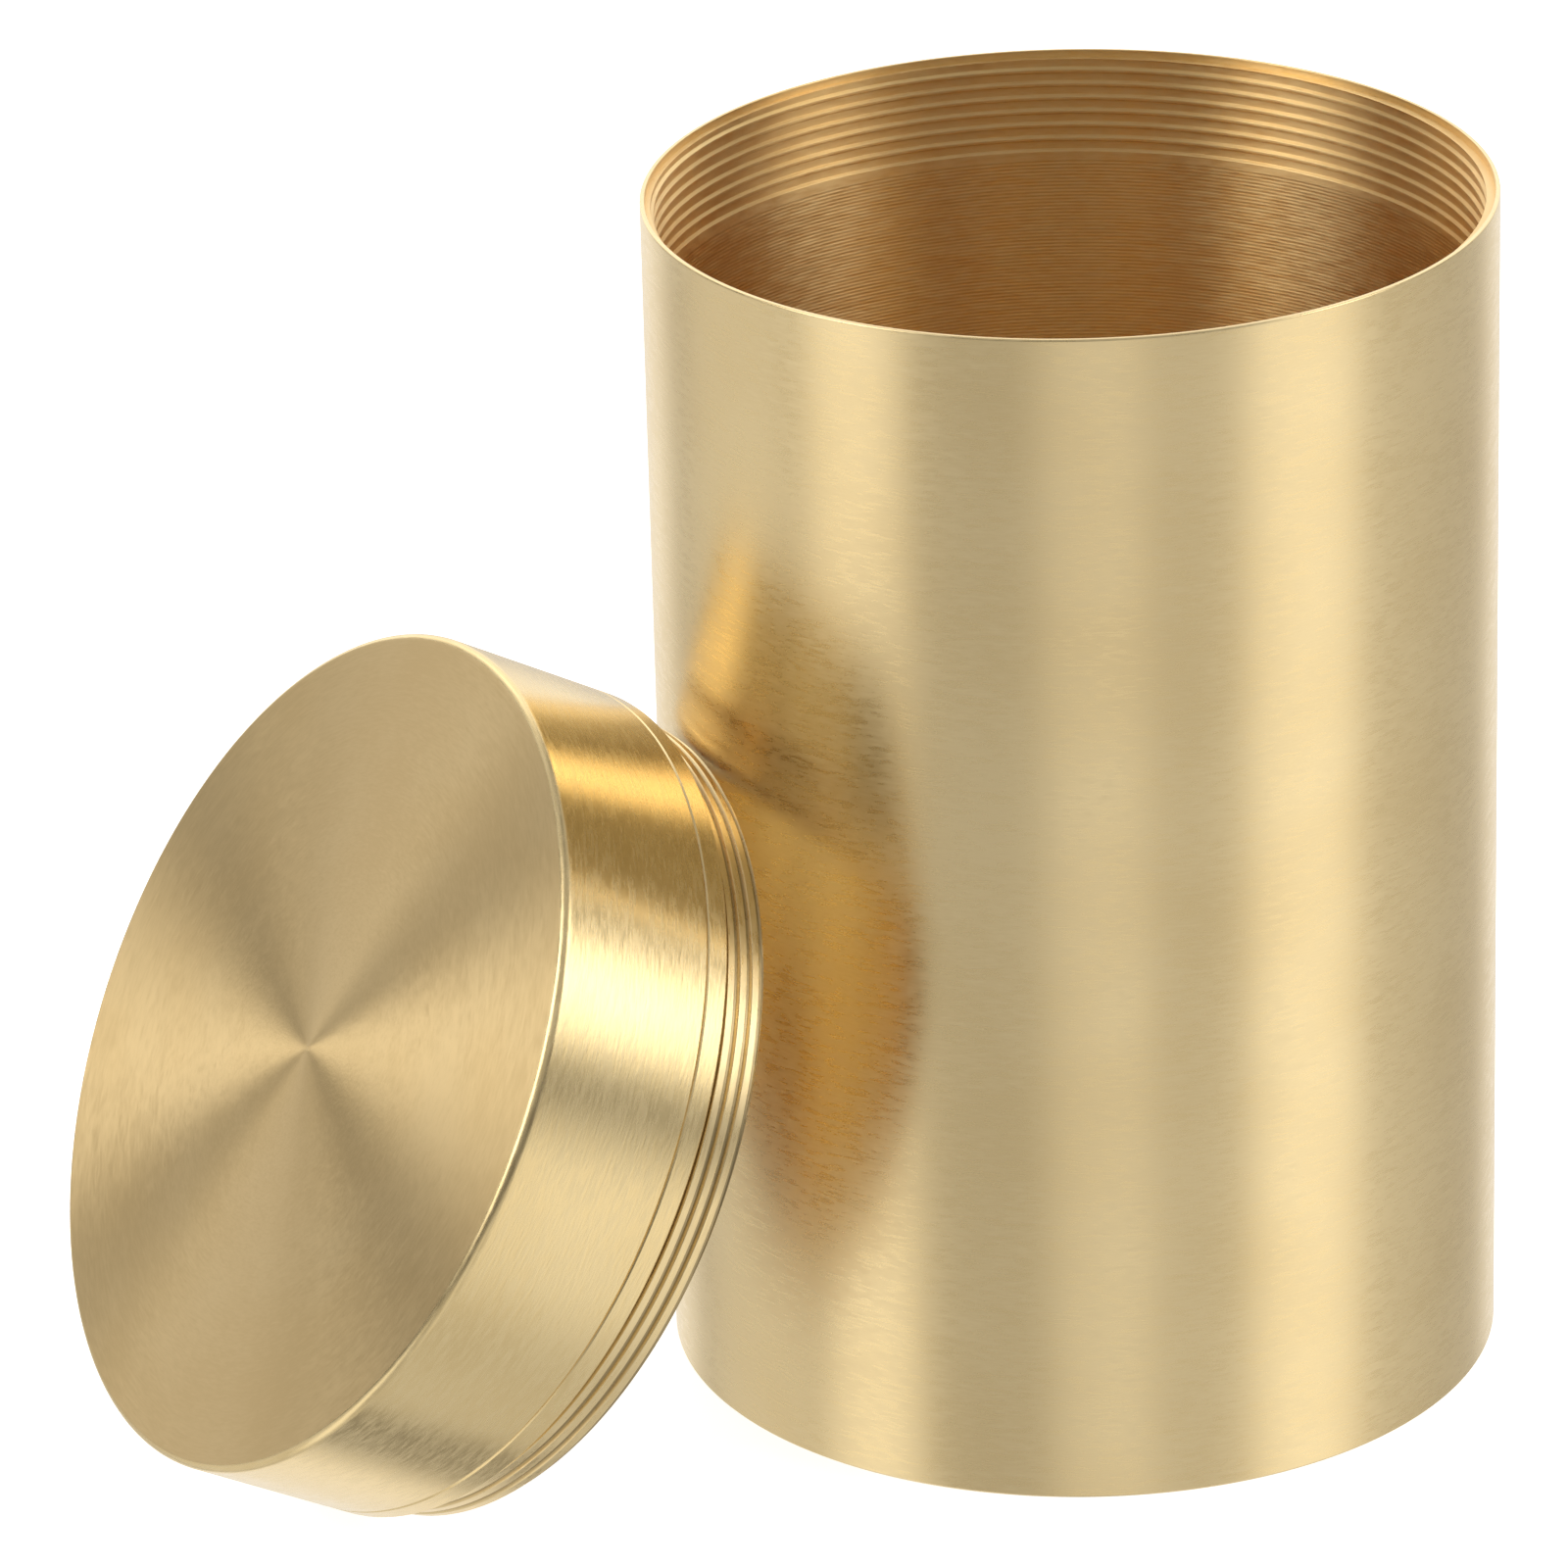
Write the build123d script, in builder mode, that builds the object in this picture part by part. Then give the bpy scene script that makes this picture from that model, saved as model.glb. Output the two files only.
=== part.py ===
"""Screw-top cookie tin turned in brass: an upright tin, with its lid off and leaning on the side of it."""

from build123d import *
from math import cos, radians, sin, sqrt, tan
import os

os.makedirs("parts", exist_ok=True)

# Driving dimensions, in millimetres and degrees.
# The origin is the centre of the tin's underside, and the tin's axis is +Z.
tin_radius = 43.0
tin_height = 125.0
bore_radius = 41.6
rim_round = 0.2
foot_chamfer = 0.25

base_radius = 42.3
base_thickness = 1.6

thread_pitch = 1.5
thread_half_angle = 30.0
narrow_flat = 0.3
wide_flat = 0.8
thread_clearance = 0.1
cut_overshoot = 0.1

mouth_lead_in_radius = 42.5
mouth_lead_in_depth = 0.8
mouth_groove_top = 1.0
mouth_groove_bottom = 11.0

lid_radius = 43.3
lid_edge_round = 0.85
lid_face_thickness = 1.6
lid_corner_round = 1.0
lid_skirt_bore = 41.9
lid_skirt_length = 17.3

ring_bore = 39.8
sleeve_length = 6.0
band_length = 2.6
band_top_chamfer = 0.3
band_end_chamfer = 0.25
relief_radius = 41.15
relief_length = 1.1
spigot_length = 5.7
spigot_chamfer = 0.4
lid_groove_start = 0.9
lid_groove_length = 4.5

# How the lid leans: the heading its axis takes towards the tin, how far its face is tipped back,
# how far its axis passes to one side of the tin's, and the gap from its top edge to the tin's wall.
lean_heading = 27.93
lean_tilt = 29.15
lean_side_offset = 2.8
lean_gap = 0.5

# Worked out from the driving dimensions. The mouth's thread has narrow crests between wide grooves,
# and the lid's has wide crests between narrow grooves, so that one fills the other.
thread_depth = (thread_pitch - narrow_flat - wide_flat) / 2 / tan(radians(thread_half_angle))
mouth_thread_root = bore_radius + thread_depth
lid_thread_crest = mouth_thread_root - thread_clearance
lid_thread_root = lid_thread_crest - thread_depth
band_end = lid_skirt_length + band_length
spigot_end = band_end + spigot_length

# The lid stands on the outer edge of its spigot, and the top of that edge leans on the tin.
rest_edge = spigot_end - spigot_chamfer
tilt = radians(lean_tilt)
heading = radians(lean_heading)
contact_distance = sqrt((tin_radius + lean_gap) ** 2 - lean_side_offset**2)
face_distance = contact_distance + rest_edge * cos(tilt) + lid_thread_crest * sin(tilt)
face_height = rest_edge * sin(tilt) + lid_thread_crest * cos(tilt)
towards_tin = Vector(cos(heading), sin(heading), 0)
beside_lid = Vector(sin(heading), -cos(heading), 0)
lid_axis = towards_tin * cos(tilt) - Vector(0, 0, sin(tilt))
face_centre = Vector(0, 0, face_height) - towards_tin * face_distance - beside_lid * lean_side_offset

# Z of the lid's plane runs from the centre of its face to its open end, and X is level.
# In each section plane X is the distance from the axis and Y the height along it.
lid_plane = Plane(origin=face_centre, x_dir=beside_lid, z_dir=lid_axis)
lid_section = Plane(origin=face_centre, x_dir=beside_lid, z_dir=-lid_plane.y_dir)
lid_turning_axis = Axis(face_centre, lid_axis)
tin_plane = Plane(origin=(0, 0, 0), x_dir=(0, -1, 0), z_dir=(0, 0, 1))
tin_section = Plane(origin=(0, 0, 0), x_dir=(0, -1, 0), z_dir=(-1, 0, 0))


def groove_outline(root, opening, root_flat, height):
    """The groove between two thread crests, from its root to where it opens past the crests."""
    half_root = root_flat / 2
    half_opening = half_root + abs(opening - root) * tan(radians(thread_half_angle))
    Polyline(
        (root, height - half_root),
        (opening, height - half_opening),
        (opening, height + half_opening),
        (root, height + half_root),
        close=True,
    )


def ring_edges(builder, radius, plane):
    """The round edges of one radius, from the plane's origin outwards along its Z."""
    edges = builder.edges().filter_by(GeomType.CIRCLE)
    same_radius = edges.filter_by(lambda edge: abs(edge.radius - radius) < 1e-6)
    return same_radius.sort_by(Axis(plane.origin, plane.z_dir))


# Each thread's helix starts in its section plane, where its groove is drawn.
groove_start = tin_height - mouth_groove_bottom
mouth_helix = tin_plane.location * Helix(
    thread_pitch,
    mouth_groove_bottom - mouth_groove_top,
    bore_radius,
    center=(0, 0, groove_start),
)
lid_helix = lid_plane.location * Helix(
    thread_pitch,
    lid_groove_length,
    lid_thread_crest,
    center=(0, 0, band_end + lid_groove_start),
)

# The tin's wall: one tube with a shoulder for the base in its foot and a screw thread in its mouth.
with BuildPart() as side_wall:
    with BuildSketch(tin_section):
        with BuildLine():
            Polyline(
                (base_radius, 0),
                (tin_radius, 0),
                (tin_radius, tin_height),
                (mouth_lead_in_radius, tin_height),
                (mouth_lead_in_radius, tin_height - mouth_lead_in_depth),
                (bore_radius, tin_height - mouth_lead_in_depth),
                (bore_radius, base_thickness),
                (base_radius, base_thickness),
                close=True,
            )
        make_face()
    revolve(axis=Axis.Z)
    outer_edges = ring_edges(side_wall, tin_radius, tin_plane)
    chamfer(outer_edges[0], foot_chamfer)
    fillet(outer_edges[-1], rim_round)
    with BuildSketch(tin_section):
        with BuildLine():
            groove_outline(mouth_thread_root, bore_radius - cut_overshoot, wide_flat, groove_start)
        make_face()
    sweep(path=mouth_helix, is_frenet=True, mode=Mode.SUBTRACT)
side_wall.part.label = "side_wall"
export_step(side_wall.part, "parts/side_wall.step")

# The base: a disc pushed up into the foot of the wall, flush with the wall's bottom edge.
with BuildPart() as base_disc:
    with BuildSketch(Plane.XY):
        Circle(base_radius)
    extrude(amount=base_thickness)
base_disc.part.label = "base_disc"
export_step(base_disc.part, "parts/base_disc.step")

# The lid's cap: its round face and its skirt, turned as one cup.
with BuildPart() as lid_cap:
    with BuildSketch(lid_section):
        with BuildLine():
            Polyline(
                (0, 0),
                (lid_radius, 0),
                (lid_radius, lid_skirt_length),
                (lid_skirt_bore, lid_skirt_length),
                (lid_skirt_bore, lid_face_thickness),
                (0, lid_face_thickness),
                close=True,
            )
        make_face()
    revolve(axis=lid_turning_axis)
    fillet(ring_edges(lid_cap, lid_radius, lid_plane)[0], lid_edge_round)
    fillet(ring_edges(lid_cap, lid_skirt_bore, lid_plane)[0], lid_corner_round)
lid_cap.part.label = "lid_cap"
export_step(lid_cap.part, "parts/lid_cap.step")

# The lid's thread ring: a sleeve pressed into the skirt, a band that carries the skirt's line on down
# to the tin's rim, a relief, and the threaded spigot that screws into the tin's mouth.
with BuildPart() as lid_thread_ring:
    with BuildSketch(lid_section):
        with BuildLine():
            Polyline(
                (ring_bore, lid_skirt_length - sleeve_length),
                (lid_skirt_bore, lid_skirt_length - sleeve_length),
                (lid_skirt_bore, lid_skirt_length),
                (lid_radius, lid_skirt_length),
                (lid_radius, band_end),
                (relief_radius, band_end),
                (relief_radius, band_end + relief_length),
                (lid_thread_crest, band_end + relief_length),
                (lid_thread_crest, spigot_end),
                (ring_bore, spigot_end),
                close=True,
            )
        make_face()
    revolve(axis=lid_turning_axis)
    band_edges = ring_edges(lid_thread_ring, lid_radius, lid_plane)
    chamfer(band_edges[0], band_top_chamfer)
    chamfer(band_edges[-1], band_end_chamfer)
    chamfer(ring_edges(lid_thread_ring, lid_thread_crest, lid_plane)[-1], spigot_chamfer)
    with BuildSketch(lid_section):
        with BuildLine():
            opening = lid_thread_crest + cut_overshoot
            groove_outline(lid_thread_root, opening, narrow_flat, band_end + lid_groove_start)
        make_face()
    sweep(path=lid_helix, is_frenet=True, mode=Mode.SUBTRACT)
lid_thread_ring.part.label = "lid_thread_ring"
export_step(lid_thread_ring.part, "parts/lid_thread_ring.step")
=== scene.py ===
"""Turned brass screw-top tin on a pale studio floor, with its lid off and leaning on the tin's side."""

import math

import bmesh
import bpy
import numpy as np
from mathutils import Matrix, Vector


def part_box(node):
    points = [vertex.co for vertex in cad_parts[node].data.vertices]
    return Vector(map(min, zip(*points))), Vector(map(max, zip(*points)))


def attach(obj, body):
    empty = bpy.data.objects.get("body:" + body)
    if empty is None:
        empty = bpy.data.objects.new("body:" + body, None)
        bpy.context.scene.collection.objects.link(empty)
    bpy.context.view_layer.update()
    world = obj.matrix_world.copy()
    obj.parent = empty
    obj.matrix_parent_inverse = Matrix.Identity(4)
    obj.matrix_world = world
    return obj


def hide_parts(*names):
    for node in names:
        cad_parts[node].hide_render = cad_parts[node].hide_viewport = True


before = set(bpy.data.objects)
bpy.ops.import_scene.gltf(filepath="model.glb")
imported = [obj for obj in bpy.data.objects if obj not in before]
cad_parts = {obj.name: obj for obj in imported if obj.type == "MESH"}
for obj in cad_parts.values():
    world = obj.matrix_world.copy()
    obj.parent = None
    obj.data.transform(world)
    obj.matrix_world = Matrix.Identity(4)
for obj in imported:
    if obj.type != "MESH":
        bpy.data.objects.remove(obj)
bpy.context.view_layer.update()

# ---------------------------------------------------------------- places and sizes

MM = 0.001

tin_low, tin_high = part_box("side_wall")
TIN_RADIUS = (tin_high.x - tin_low.x) / 2
TIN_HEIGHT = tin_high.z
RIM_ROUND = 0.2 * MM
FOOT_CHAMFER = 0.25 * MM

BORE_RADIUS = 41.6 * MM
BASE_RADIUS = 42.3 * MM
BASE_THICKNESS = 1.6 * MM
BASE_RECESS = 0.06 * MM
SEAT_EDGE = 0.3 * MM

PITCH = 1.5 * MM
NARROW_FLAT = 0.3 * MM
WIDE_FLAT = 0.8 * MM
FLANK_RUN = (PITCH - NARROW_FLAT - WIDE_FLAT) / 2
THREAD_DEPTH = FLANK_RUN / math.tan(math.radians(30))
THREAD_CLEARANCE = 0.1 * MM
MOUTH_THREAD_START = TIN_HEIGHT - 11 * MM
MOUTH_THREAD_BOTTOM = MOUTH_THREAD_START - PITCH / 2
LEAD_IN_RADIUS = 42.5 * MM
LEAD_IN_DEPTH = 0.8 * MM

# Heights on the lid run from the outside of its face to the end of its spigot.
LID_RADIUS = 43.3 * MM
LID_EDGE_ROUND = 0.85 * MM
LID_FACE_THICKNESS = 1.6 * MM
LID_CORNER_ROUND = 1.0 * MM
SKIRT_BORE = 41.9 * MM
SKIRT_END = 17.3 * MM
RING_BORE = 39.8 * MM
RING_TOP = 11.3 * MM
BAND_TOP_CHAMFER = 0.3 * MM
BAND_END_CHAMFER = 0.25 * MM
BAND_END = 19.9 * MM
RELIEF_RADIUS = 41.15 * MM
RELIEF_END = 21.0 * MM
LID_CREST_RADIUS = BORE_RADIUS + THREAD_DEPTH - THREAD_CLEARANCE
LID_THREAD_START = 20.8 * MM
SPIGOT_CHAMFER = 0.4 * MM
SPIGOT_END_FLAT = 0.6 * MM
SPIGOT_END = 25.6 * MM

# How far a face is drawn back where it meets another piece.
HAIRLINE = 0.03 * MM


def widest_flat(node):
    """Centre and outward normal of the widest flat face of a CAD node."""
    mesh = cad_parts[node].data
    count = len(mesh.polygons)
    normals, centres, areas = np.zeros(count * 3), np.zeros(count * 3), np.zeros(count)
    mesh.polygons.foreach_get("normal", normals)
    mesh.polygons.foreach_get("center", centres)
    mesh.polygons.foreach_get("area", areas)
    normals, centres = normals.reshape(-1, 3), centres.reshape(-1, 3)
    planes = {}
    for i, (normal, centre) in enumerate(zip(normals, centres)):
        key = (*np.round(normal, 2), round(float(normal @ centre), 4))
        planes.setdefault(key, []).append(i)
    flat = max(planes.values(), key=lambda members: areas[members].sum())
    weight = areas[flat] / areas[flat].sum()
    return Vector(weight @ centres[flat]), Vector(weight @ normals[flat]).normalized()


# ---------------------------------------------------------------- turned shapes

# How finely a piece is divided: round its axis, along its profile, and over the spigot's chamfer.
COLUMNS = 288
LONGEST_RUN = 4 * MM
CHAMFER_ROWS = 7

# A guard point stands this share of the rounding away from the end of its arc.
GUARD_SHARE = 0.4

# Points this close become one, edges this short are dissolved, and edges this sharp stay crisp.
WELD = 2e-7
SLIVER = 1e-8
CRISP_EDGE = math.radians(35)


def rounded(corners, steps=5):
    """Profile points for corners (radius, height, rounding), where each rounding becomes an arc.

    A long straight run beside an arc starts with a guard point, which keeps its shading flat.
    """
    points = []
    for i, (r, z, rounding) in enumerate(corners):
        here = Vector((r, z))
        if rounding == 0 or i in (0, len(corners) - 1):
            points.append(here)
            continue
        before = Vector(corners[i - 1][:2]) - here
        after = Vector(corners[i + 1][:2]) - here
        backward, forward = before.normalized(), after.normalized()
        half = before.angle(after) / 2
        reach = rounding / math.tan(half)
        centre = here + (backward + forward).normalized() * (rounding / math.sin(half))
        start = here + backward * reach
        end = here + forward * reach
        guard = GUARD_SHARE * rounding
        if before.length > reach + 2 * guard:
            points.append(start + backward * guard)
        first, last = start - centre, end - centre
        sweep = math.atan2(first.x * last.y - first.y * last.x, first.dot(last))
        for s in range(steps + 1):
            points.append(centre + Matrix.Rotation(sweep * s / steps, 2) @ first)
        if after.length > reach + 2 * guard:
            points.append(end + forward * guard)
    return points


def level_row(radius, height):
    """Row of the lathe with one radius and one height in every column."""
    return np.full(COLUMNS + 1, radius), np.full(COLUMNS + 1, height)


def plain_rows(points):
    """Level rows through the profile points, with long runs split so that faces stay compact."""
    rows = [level_row(*points[0])]
    for start, end in zip(points, points[1:]):
        parts = math.ceil((end - start).length / LONGEST_RUN)
        for k in range(1, parts + 1):
            rows.append(level_row(*start.lerp(end, k / parts)))
    return rows


class Thread:
    """A single-start right-handed groove, cut to `root` radius in a wall of `plain` radius.

    `land` is the width of the flat that stays at the plain radius between one turn and the next.
    `fade` is the part of a turn in which the groove deepens from nothing, or 0 for a groove that
    is cut right through.
    """

    # Each corner of the groove is rounded over this share of a flank either side of it, and the wall
    # has a guard row this much further out.
    SOFT = 0.2
    GUARD = 0.12

    def __init__(self, plain, root, land, start, fade):
        self.plain, self.root, self.land, self.start, self.fade = plain, root, land, start, fade
        self.turn = np.linspace(0, 1, COLUMNS + 1)

    def radius(self, height):
        """Radius of the wall at one height in every column."""
        soft = self.SOFT
        turns = (height - self.start) / PITCH - self.turn
        nearest = np.round(turns)
        off = np.abs(turns - nearest) * PITCH
        share = ((PITCH - self.land) / 2 - off) / FLANK_RUN
        rest = 1 - share
        depth = np.where(share < soft, (share + soft) ** 2 / (4 * soft), share)
        depth = np.where(rest < soft, 1 - (rest + soft) ** 2 / (4 * soft), depth)
        depth = np.where(share < -soft, 0, np.where(rest < -soft, 1, depth))
        if self.fade:
            depth = depth * np.clip((nearest + self.turn) / self.fade, 0, 1)
        return self.plain + (self.root - self.plain) * depth

    def rows(self, low, high):
        """Rows that follow the groove between two level planes."""
        soft = self.SOFT
        outer_corner = [-soft - self.GUARD, -soft, -soft / 3, soft / 3, soft]
        inner_corner = [1 - soft, 1 - soft / 3, 1 + soft / 3]
        shares = outer_corner + [0.5] + inner_corner
        offsets = [(PITCH - self.land) / 2 - share * FLANK_RUN for share in shares]
        offsets = [-offset for offset in offsets] + offsets[::-1]
        last = math.ceil((high - self.start) / PITCH + 0.5)
        made = []
        for k in range(-1, last + 1):
            for offset in offsets:
                z = np.clip(self.start + PITCH * (k + self.turn) + offset, low, high)
                made.append((self.radius(z), z))
        return made


def lathe(name, rows, start=0.0):
    """Mesh object turned about its own Z from rows of (radius, height) arrays."""
    angle = start + np.linspace(0, 2 * math.pi, COLUMNS + 1)
    radius = np.array([r for r, _ in rows])
    height = np.array([z for _, z in rows])
    grid = np.stack([radius * np.cos(angle), radius * np.sin(angle), height], axis=-1)
    mesh = bpy.data.meshes.new(name)
    bm = bmesh.new()
    verts = [[bm.verts.new(p) for p in line] for line in grid.tolist()]
    for lower, upper in zip(verts, verts[1:]):
        for j in range(COLUMNS):
            bm.faces.new((lower[j], lower[j + 1], upper[j + 1], upper[j]))
    bmesh.ops.remove_doubles(bm, verts=bm.verts, dist=WELD)
    bmesh.ops.dissolve_degenerate(bm, edges=bm.edges, dist=SLIVER)
    bmesh.ops.recalc_face_normals(bm, faces=bm.faces)
    bm.to_mesh(mesh)
    bm.free()
    mesh.shade_smooth()
    mesh.set_sharp_from_angle(angle=CRISP_EDGE)
    piece = bpy.data.objects.new(name, mesh)
    bpy.context.scene.collection.objects.link(piece)
    return piece


# ---------------------------------------------------------------- the tin

mouth = Thread(BORE_RADIUS, BORE_RADIUS + THREAD_DEPTH, NARROW_FLAT, MOUTH_THREAD_START, fade=0.06)
foot_and_outside = rounded(
    [
        (BASE_RADIUS, SEAT_EDGE, 0),
        (BASE_RADIUS, 0, 0.08 * MM),
        (TIN_RADIUS - FOOT_CHAMFER, 0, 0.05 * MM),
        (TIN_RADIUS, FOOT_CHAMFER, 0.1 * MM),
        (TIN_RADIUS, TIN_HEIGHT, RIM_ROUND),
        (LEAD_IN_RADIUS, TIN_HEIGHT, 0.08 * MM),
        (LEAD_IN_RADIUS, TIN_HEIGHT - LEAD_IN_DEPTH, 0),
    ]
)
mouth_rows = mouth.rows(MOUTH_THREAD_BOTTOM, TIN_HEIGHT - LEAD_IN_DEPTH)[::-1]
inside = rounded(
    [
        (BORE_RADIUS, MOUTH_THREAD_BOTTOM, 0),
        (BORE_RADIUS, BASE_THICKNESS, 0),
        (BASE_RADIUS, BASE_THICKNESS, 0),
        (BASE_RADIUS, SEAT_EDGE, 0),
    ]
)
wall_rows = plain_rows(foot_and_outside) + mouth_rows + plain_rows(inside)
tin_wall = lathe("tin_wall", wall_rows, start=-math.pi / 2)

base_rows = plain_rows(
    rounded(
        [
            (0, BASE_RECESS, 0),
            (BASE_RADIUS - HAIRLINE, BASE_RECESS, 0.1 * MM),
            (BASE_RADIUS - HAIRLINE, BASE_THICKNESS - HAIRLINE, 0),
            (BORE_RADIUS + HAIRLINE, BASE_THICKNESS - HAIRLINE, 0),
            (0, BASE_THICKNESS - HAIRLINE, 0),
        ]
    )
)
tin_base = lathe("tin_base", base_rows)

# ---------------------------------------------------------------- the lid

face_centre, face_normal = widest_flat("lid_cap")
lid_axis = -face_normal
beside = Vector((lid_axis.y, -lid_axis.x, 0)).normalized()
lid_frame = Matrix((beside, lid_axis.cross(beside), lid_axis)).transposed().to_4x4()
lid_place = Matrix.Translation(face_centre) @ lid_frame

shell_rows = plain_rows(
    rounded(
        [
            (0, 0, 0),
            (LID_RADIUS, 0, LID_EDGE_ROUND),
            (LID_RADIUS, SKIRT_END - HAIRLINE, 0.05 * MM),
            (SKIRT_BORE, SKIRT_END - HAIRLINE, 0.03 * MM),
            (SKIRT_BORE, LID_FACE_THICKNESS, LID_CORNER_ROUND),
            (0, LID_FACE_THICKNESS, 0),
        ],
        steps=8,
    )
)
lid_shell = lathe("lid_shell", shell_rows)

spigot = Thread(LID_CREST_RADIUS, LID_CREST_RADIUS - THREAD_DEPTH, WIDE_FLAT, LID_THREAD_START, fade=0)
band_rows = plain_rows(
    rounded(
        [
            (RING_BORE, RING_TOP, 0),
            (SKIRT_BORE - HAIRLINE, RING_TOP, 0.3 * MM),
            (SKIRT_BORE - HAIRLINE, SKIRT_END + HAIRLINE, 0),
            (LID_RADIUS - BAND_TOP_CHAMFER, SKIRT_END + HAIRLINE, 0.04 * MM),
            (LID_RADIUS, SKIRT_END + BAND_TOP_CHAMFER, 0.06 * MM),
            (LID_RADIUS, BAND_END - BAND_END_CHAMFER, 0.06 * MM),
            (LID_RADIUS - BAND_END_CHAMFER, BAND_END, 0.04 * MM),
            (RELIEF_RADIUS, BAND_END, 0.1 * MM),
            (RELIEF_RADIUS, RELIEF_END, 0),
        ]
    )
)
thread_rows = spigot.rows(RELIEF_END, SPIGOT_END - SPIGOT_CHAMFER)
chamfer_rows = []
for z in np.linspace(SPIGOT_END - SPIGOT_CHAMFER, SPIGOT_END, CHAMFER_ROWS):
    cone = LID_CREST_RADIUS - SPIGOT_CHAMFER + (SPIGOT_END - z)
    chamfer_rows.append((np.minimum(spigot.radius(z), cone), np.full(COLUMNS + 1, z)))
bore_rows = plain_rows(
    rounded(
        [
            (LID_CREST_RADIUS - SPIGOT_CHAMFER - SPIGOT_END_FLAT, SPIGOT_END, 0),
            (RING_BORE, SPIGOT_END, 0.15 * MM),
            (RING_BORE, RING_TOP, 0),
        ]
    )
)
ring_rows = band_rows + thread_rows + chamfer_rows + bore_rows
lid_ring = lathe("lid_ring", ring_rows + ring_rows[:1])
for piece in (lid_shell, lid_ring):
    piece.matrix_world = lid_place

# ---------------------------------------------------------------- materials


class NodeTree:
    """Adds nodes to a tree and sets or links their inputs."""

    def __init__(self, tree):
        self.tree = tree

    def add(self, kind, inputs=None, **settings):
        node = self.tree.nodes.new(kind)
        for key, value in settings.items():
            setattr(node, key, value)
        for key, value in (inputs or {}).items():
            if isinstance(value, bpy.types.NodeSocket):
                self.tree.links.new(value, node.inputs[key])
            else:
                node.inputs[key].default_value = value
        return node

    def math(self, operation, *values):
        return self.add("ShaderNodeMath", dict(enumerate(values)), operation=operation).outputs[0]

    def vector_math(self, operation, *values):
        """Its result as a vector, or as a number where the operation gives one."""
        node = self.add("ShaderNodeVectorMath", dict(enumerate(values)), operation=operation)
        return node.outputs[1 if operation in ("LENGTH", "DOT_PRODUCT") else 0]

    def remap(self, value, low, high, to_low=0.0, to_high=1.0, **settings):
        inputs = {0: value, 1: low, 2: high, 3: to_low, 4: to_high}
        return self.add("ShaderNodeMapRange", inputs, clamp=True, **settings).outputs[0]


class Material(NodeTree):
    """The node tree of one new material, with its shader."""

    def __init__(self, name):
        self.material = bpy.data.materials.new(name)
        self.material.use_nodes = True
        super().__init__(self.material.node_tree)
        self.shader = self.tree.nodes["Principled BSDF"]

    def mix(self, factor, a, b):
        return self.add("ShaderNodeMix", {0: factor, 6: a, 7: b}, data_type="RGBA").outputs[2]

    def drive(self, name, value):
        """Links a value that varies over the surface to one of the shader's sockets."""
        self.tree.links.new(value, self.shader.inputs[name])

    def fix(self, name, value):
        """Sets one of the shader's sockets to a value that is the same all over the surface."""
        self.shader.inputs[name].default_value = value


# A dark brown, painted in as shade along the bore's turning rings and into the lid's thread groove.
PAINTED_SHADE = (0.22, 0.16, 0.08, 1)

# The lathe leaves fine lines a line spacing apart, and in the bore also rings one feed apart.
LINE_SPACING = 0.3 * MM
FEED = 0.38 * MM
# How much painted shade darkens each ring of the bore.
RING_SHADE = 0.12

# The lines are fine noise mixed with medium noise, and the tone is the lines mixed with clouds.
FINE_SHARE = 0.65
LINE_SHARE = 0.6

# Roughness follows the lines' noise over one range, and tone follows lines and clouds over another.
LINE_RANGE = (0.38, 0.62)
TONE_RANGE = (0.41, 0.59)
ROUGHNESS_SPREAD = 0.05
CLOUD_SCALE = 55.0


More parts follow.
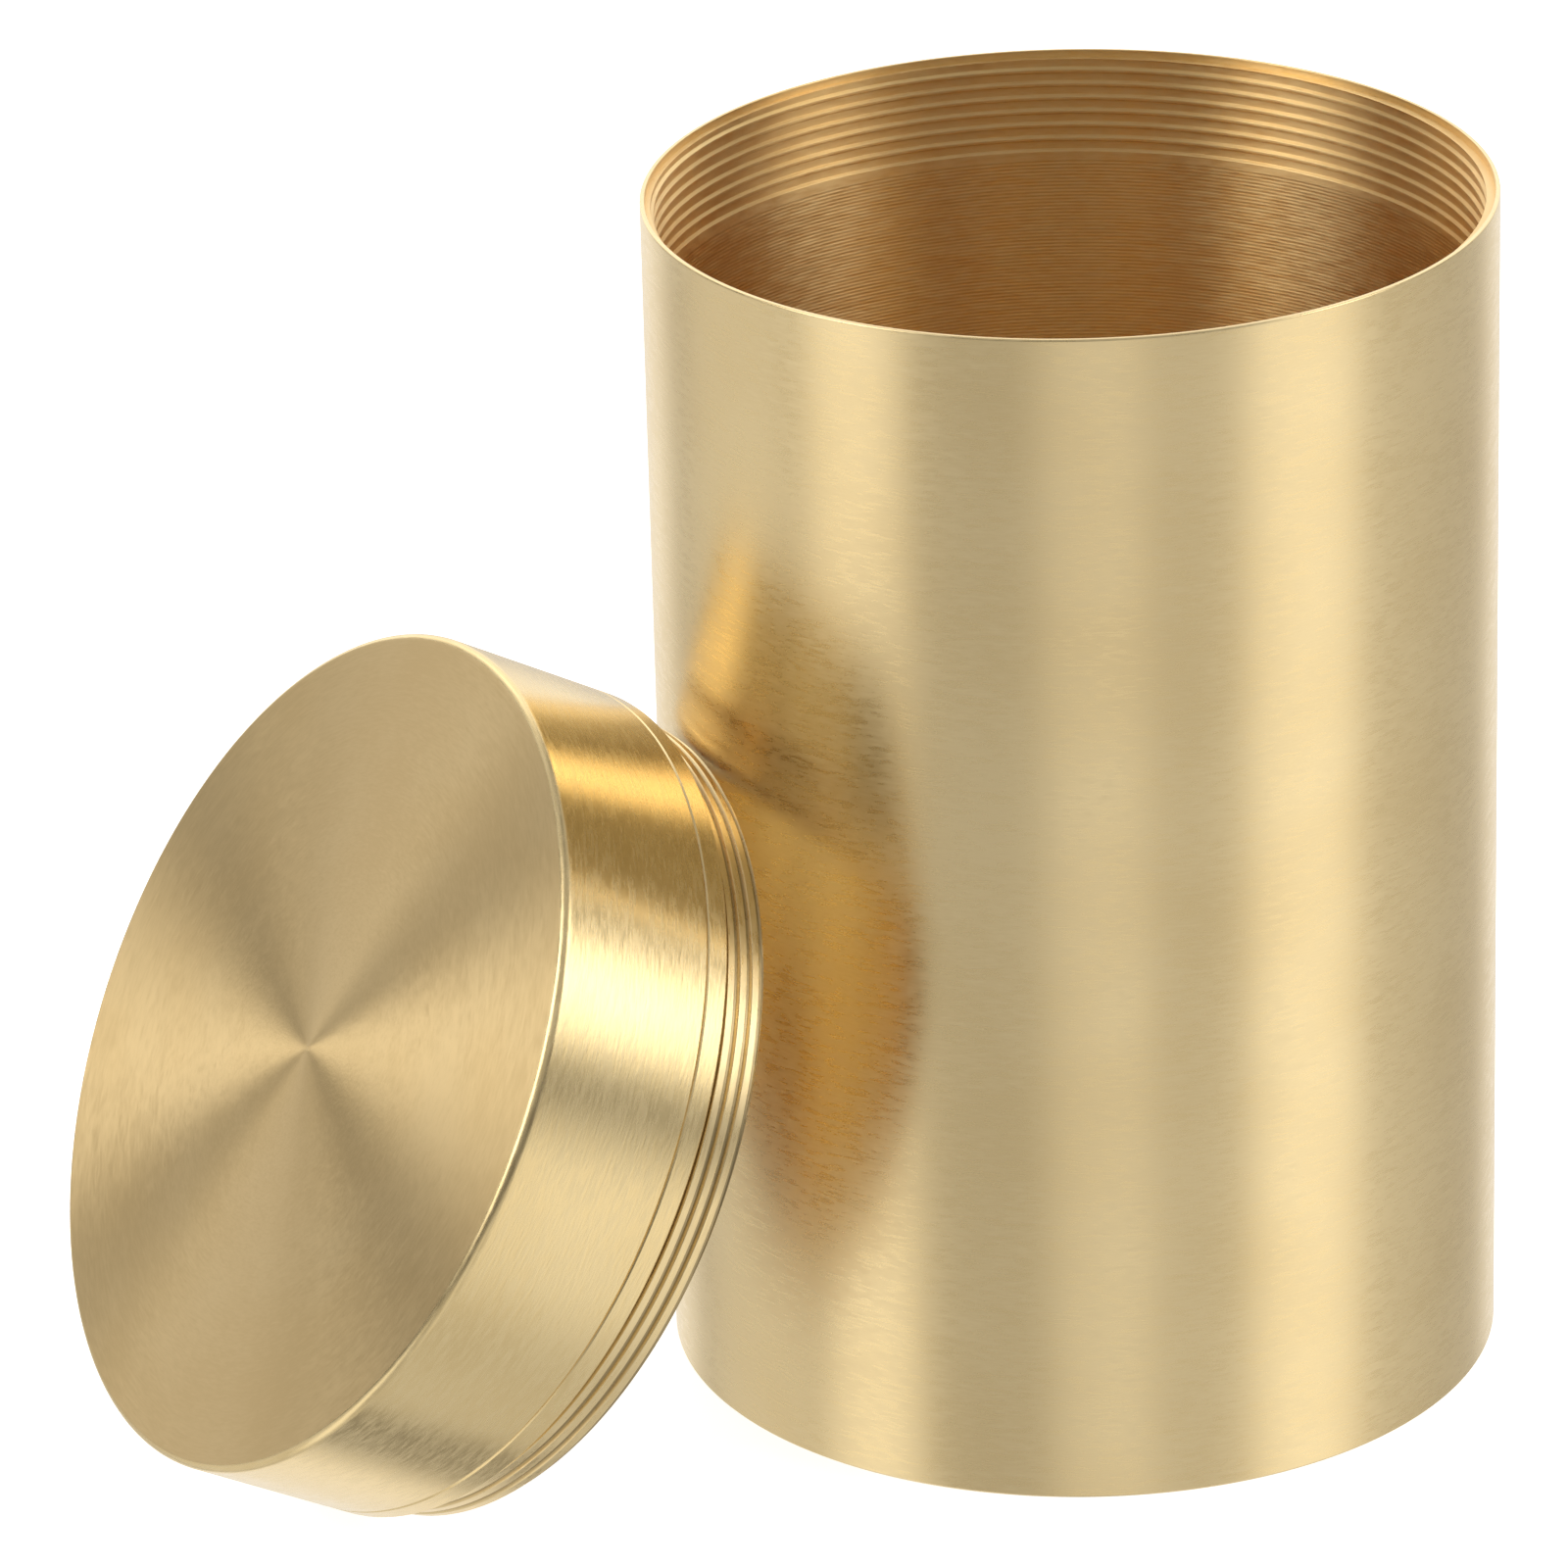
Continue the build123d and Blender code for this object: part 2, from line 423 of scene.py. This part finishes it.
def brushed(name, tones, roughness, anisotropy, line_slope, ring_slope=0.0, groove=None):
    """Lathe-brushed brass: fine lines run round the axis, on walls and on flat faces alike.

    `line_slope` and `ring_slope` are how steep the lines and the bore's turning rings are; where there are
    rings, each is also painted darker along its wave, as painted shade. `groove` is the radius where a
    thread groove starts, the radius of its root, and how much painted shade darkens its root.
    """
    n = Material(name)
    place = n.add("ShaderNodeTexCoord").outputs["Object"]
    split = n.add("ShaderNodeSeparateXYZ", {0: place})
    flat = n.add("ShaderNodeCombineXYZ", {0: split.outputs[0], 1: split.outputs[1]}).outputs[0]
    reach = n.vector_math("LENGTH", flat)
    heading = n.vector_math("NORMALIZE", flat)
    along = n.math("ADD", reach, split.outputs[2])

    def lines(spacing, around):
        """Noise stretched round the axis, lines `spacing` apart, `around` of them in a radian."""
        turned = n.add("ShaderNodeVectorMath", {0: heading, "Scale": around}, operation="SCALE")
        step = n.math("MULTIPLY", along, 1 / spacing)
        lifted = n.add("ShaderNodeCombineXYZ", {2: step})
        vector = n.vector_math("ADD", turned.outputs[0], lifted.outputs[0])
        return n.add("ShaderNodeTexNoise", {"Vector": vector, "Scale": 1.0, "Detail": 2}).outputs[0]

    fine = lines(LINE_SPACING, 24)
    medium = lines(3 * LINE_SPACING, 9)
    cloud = n.add("ShaderNodeTexNoise", {"Vector": place, "Scale": CLOUD_SCALE, "Detail": 2}).outputs[0]
    grain = n.math("ADD", n.math("MULTIPLY", fine, FINE_SHARE), n.math("MULTIPLY", medium, 1 - FINE_SHARE))
    tone = n.math("ADD", n.math("MULTIPLY", grain, LINE_SHARE), n.math("MULTIPLY", cloud, 1 - LINE_SHARE))

    light_tone, rich_tone = tones
    shade = n.mix(n.remap(tone, *TONE_RANGE), rich_tone, light_tone)
    height = n.math("MULTIPLY", grain, line_slope * LINE_SPACING)
    if ring_slope:
        wave = n.math("SINE", n.math("MULTIPLY", along, 2 * math.pi / FEED))
        # Painted shade: each turning ring is darkened along its wave, so that the rings show in the
        # colour.
        shade = n.mix(n.remap(wave, -1, 1, 0, RING_SHADE), shade, PAINTED_SHADE)
        ring_height = n.math("MULTIPLY", wave, ring_slope * FEED / (2 * math.pi))
        height = n.math("ADD", height, ring_height)
    if groove:
        groove_start, groove_root, groove_shade = groove
        # Painted shade: the thread groove is darkened towards its root.
        shade = n.mix(n.remap(reach, groove_start, groove_root, 0, groove_shade), shade, PAINTED_SHADE)
    bump = n.add("ShaderNodeBump", {"Height": height, "Distance": 1.0, "Strength": 1.0})
    tangent = n.add("ShaderNodeTangent", direction_type="RADIAL", axis="Z")

    smoothest, roughest = roughness - ROUGHNESS_SPREAD, roughness + ROUGHNESS_SPREAD
    n.drive("Base Color", shade)
    n.drive("Roughness", n.remap(grain, *LINE_RANGE, smoothest, roughest))
    n.drive("Normal", bump.outputs[0])
    n.drive("Tangent", tangent.outputs[0])
    n.fix("Metallic", 1.0)
    n.fix("Anisotropic", anisotropy)
    n.fix("Anisotropic Rotation", 0.25)
    return n.material


# Each brass has a light tone and a rich tone.
CHAMPAGNE = (0.90, 0.71, 0.39, 1), (0.84, 0.645, 0.335, 1)
BORE_GOLD = (0.92, 0.675, 0.32, 1), (0.86, 0.60, 0.26, 1)
WALL_GOLD = (0.87, 0.68, 0.36, 1), (0.81, 0.615, 0.305, 1)
FACE_GOLD = (0.89, 0.67, 0.345, 1), (0.83, 0.605, 0.29, 1)
CUP_GOLD = (0.97, 0.79, 0.40, 1), (0.93, 0.74, 0.36, 1)

# Painted shade starts just below the crests of the lid's thread, and at the groove's root it is mixed in
# at this share.
GROOVE_SHADE_START = LID_CREST_RADIUS - 0.1 * MM
GROOVE_SHADE_AT_ROOT = 0.7
SPIGOT_GROOVE = (GROOVE_SHADE_START, LID_CREST_RADIUS - THREAD_DEPTH, GROOVE_SHADE_AT_ROOT)

tin_brass = brushed("tin_brushed_brass", CHAMPAGNE, 0.30, 0.6, 0.02)
bore_brass = brushed("tin_turned_bore", BORE_GOLD, 0.38, 0.9, 0.06, ring_slope=0.14)
mouth_brass = brushed("tin_threaded_brass", BORE_GOLD, 0.42, 0.9, 0.06)
lid_brass = brushed("lid_brushed_brass", WALL_GOLD, 0.26, 0.6, 0.07)
face_brass = brushed("lid_faced_brass", FACE_GOLD, 0.42, 0.95, 0.08)
cup_brass = brushed("lid_turned_inside", CUP_GOLD, 0.36, 0.8, 0.05)
spigot_brass = brushed("lid_threaded_brass", CHAMPAGNE, 0.3, 0.6, 0.05, groove=SPIGOT_GROOVE)

# The outside's finish runs over the tin's rim and under its foot, this far inwards and upwards.
RIM_WIDTH = 0.45 * MM
FOOT_HEIGHT = 0.5 * MM

# Faces whose centres are this near a plane or a wall lie on it.
TOUCH = 0.01 * MM


def tin_finish(reach, height):
    """The brass of a face of the tin's wall, from its radius and its height."""
    if reach >= TIN_RADIUS - RIM_WIDTH or height <= FOOT_HEIGHT:
        return tin_brass
    return mouth_brass if height > MOUTH_THREAD_BOTTOM else bore_brass


def shell_finish(reach, height):
    """The brass of a face of the lid's cap, from its radius and its height."""
    if height < TOUCH:
        return face_brass
    return cup_brass if reach < SKIRT_BORE + TOUCH and height > LID_EDGE_ROUND else lid_brass


def ring_finish(reach, height):
    """The brass of a face of the lid's thread ring, from its height."""
    return spigot_brass if height > BAND_END - TOUCH else lid_brass


def give_finish(piece, materials, choose):
    """Gives a piece its materials, and gives each face the one that is chosen for it."""
    for material in materials:
        piece.data.materials.append(material)
    for face in piece.data.polygons:
        chosen = choose(Vector(face.center[:2]).length, face.center.z)
        face.material_index = materials.index(chosen)


give_finish(tin_wall, [tin_brass, bore_brass, mouth_brass], tin_finish)
give_finish(lid_shell, [lid_brass, face_brass, cup_brass], shell_finish)
give_finish(lid_ring, [lid_brass, spigot_brass], ring_finish)
tin_base.data.materials.append(bore_brass)

# ---------------------------------------------------------------- riding

for piece, node, body, slot in (
    (tin_wall, "side_wall", "tin", "brushed_brass"),
    (tin_base, "base_disc", "tin", "brushed_brass"),
    (lid_shell, "lid_cap", "lid", "lid_brass"),
    (lid_ring, "lid_thread_ring", "lid", "lid_brass"),
):
    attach(piece, body)
    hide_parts(node)

# ---------------------------------------------------------------- floor

FLOOR_REACH = 12.0

floor_corners = [(x * FLOOR_REACH, y * FLOOR_REACH, 0) for x, y in ((-1, -1), (1, -1), (1, 1), (-1, 1))]
floor_mesh = bpy.data.meshes.new("studio_floor")
floor_mesh.from_pydata(floor_corners, [], [(0, 1, 2, 3)])
floor = bpy.data.objects.new("studio_floor", floor_mesh)
bpy.context.scene.collection.objects.link(floor)
paper = Material("white_paper")
paper.fix("Base Color", (0.9, 0.9, 0.9, 1))
paper.fix("Roughness", 0.9)
paper.fix("Emission Color", (1, 1, 1, 1))
paper.fix("Emission Strength", 0.8)
floor_mesh.materials.append(paper.material)
floor.visible_glossy = False
floor.visible_shadow = False

# ---------------------------------------------------------------- light


def sine(degrees):
    return math.sin(math.radians(degrees))


def cosine(degrees):
    return math.cos(math.radians(degrees))


class Tent(NodeTree):
    """World light as a pale tent with soft-edged panels.

    Headings run from the camera's side to the right, and heights from the horizon up.
    """

    def __init__(self, strength):
        world = bpy.data.worlds.new("studio_tent")
        world.use_nodes = True
        bpy.context.scene.world = world
        super().__init__(world.node_tree)
        self.place = self.add("ShaderNodeTexCoord").outputs["Generated"]
        self.total = strength

    def soft_step(self, value, low, high):
        return self.remap(value, low, high, interpolation_type="SMOOTHSTEP")

    def panel(self, heading, width, low, high, strength, soft=10):
        """Adds light from a patch of directions, all in degrees."""
        toward = (sine(heading), -cosine(heading), 0)
        level = self.vector_math("NORMALIZE", self.vector_math("MULTIPLY", self.place, (1, 1, 0)))
        near = self.vector_math("DOT_PRODUCT", level, toward)
        outer = cosine(min(width / 2 + soft, 180))
        inner = cosine(max(width / 2 - soft, 0))
        across = self.soft_step(near, outer, inner)

        edges = (low - soft, low + soft, high - soft, high + soft)
        rise_start, rise_end, fall_start, fall_end = [sine(max(-90, min(90, edge))) for edge in edges]
        height = self.add("ShaderNodeSeparateXYZ", {0: self.place}).outputs[2]
        rise = self.soft_step(height, rise_start, rise_end)
        fall = self.soft_step(height, fall_end, fall_start)
        patch = self.math("MULTIPLY", self.math("MULTIPLY", rise, fall), across)
        self.total = self.math("MULTIPLY_ADD", patch, strength, self.total)

    def finish(self):
        """Cameras see plain white behind the floor."""
        seen = self.add("ShaderNodeLightPath").outputs["Is Camera Ray"]
        dimmed = self.math("SUBTRACT", 1.0, seen)
        background = self.tree.nodes["Background"]
        shown = self.math("MULTIPLY_ADD", self.total, dimmed, seen)
        self.tree.links.new(shown, background.inputs["Strength"])
        background.inputs["Color"].default_value = (1, 1, 1, 1)


tent = Tent(0.20)

# A tall softbox on the left and one on the right, and the bright floor below each.
tent.panel(-70, 29, 17, 55, 3.0)
tent.panel(-61, 20, -60, -3, 0.65)
tent.panel(78, 22, 11, 46, 2.7, soft=9)
tent.panel(65, 24, -50, -4, 0.57, soft=12)
tent.panel(60, 96, -60, -6, 0.11, soft=14)

# The lit backdrop behind the tin, and the floor in front of it.
tent.panel(177, 84, -2, 57, 1.05, soft=12)
tent.panel(184, 70, -80, -5, 0.5, soft=12)

# A narrow strip of floor on the camera's side.
tent.panel(5, 22, -50, -1, 0.27, soft=8)

# Weak fill on the left, between the softbox and the backdrop, and the floor below it.
tent.panel(-133, 40, 0, 54, 0.35)
tent.panel(-103, 38, -60, -5, 0.24)

# The floor all round.
tent.panel(0, 360, -90, -4, 0.33)

# Weak fill on the right, between the softbox and the backdrop.
tent.panel(118, 25, -10, 60, 0.18)

# The ceiling, and the floor close under the tin.
tent.panel(0, 360, 30, 90, 0.3, soft=12)
tent.panel(0, 360, -88, -62, 0.12)

tent.finish()

# ---------------------------------------------------------------- camera

# The camera stands in front of the tin and above it, and looks down at it with a slight roll.
# Angles are in radians.
CAMERA_PLACE = (0, -0.86596, 0.43606)
LOOK_LEFT = 0.0348
LOOK_DOWN = 0.4090
ROLL = -0.0274

camera_data = bpy.data.cameras.new("camera")
camera_data.sensor_width = 36
camera_data.lens = 210.82
camera_data.clip_start = 0.05
camera_data.clip_end = 50
camera = bpy.data.objects.new("camera", camera_data)
camera.location = CAMERA_PLACE
aim = Matrix.Rotation(LOOK_LEFT, 3, "Z") @ Matrix.Rotation(math.pi / 2 - LOOK_DOWN, 3, "X")
camera.rotation_euler = (aim @ Matrix.Rotation(ROLL, 3, "Z")).to_euler()
bpy.context.scene.collection.objects.link(camera)
bpy.context.scene.camera = camera
bpy.context.scene.view_settings.view_transform = "Standard"
bpy.context.scene.cycles.glossy_bounces = 10
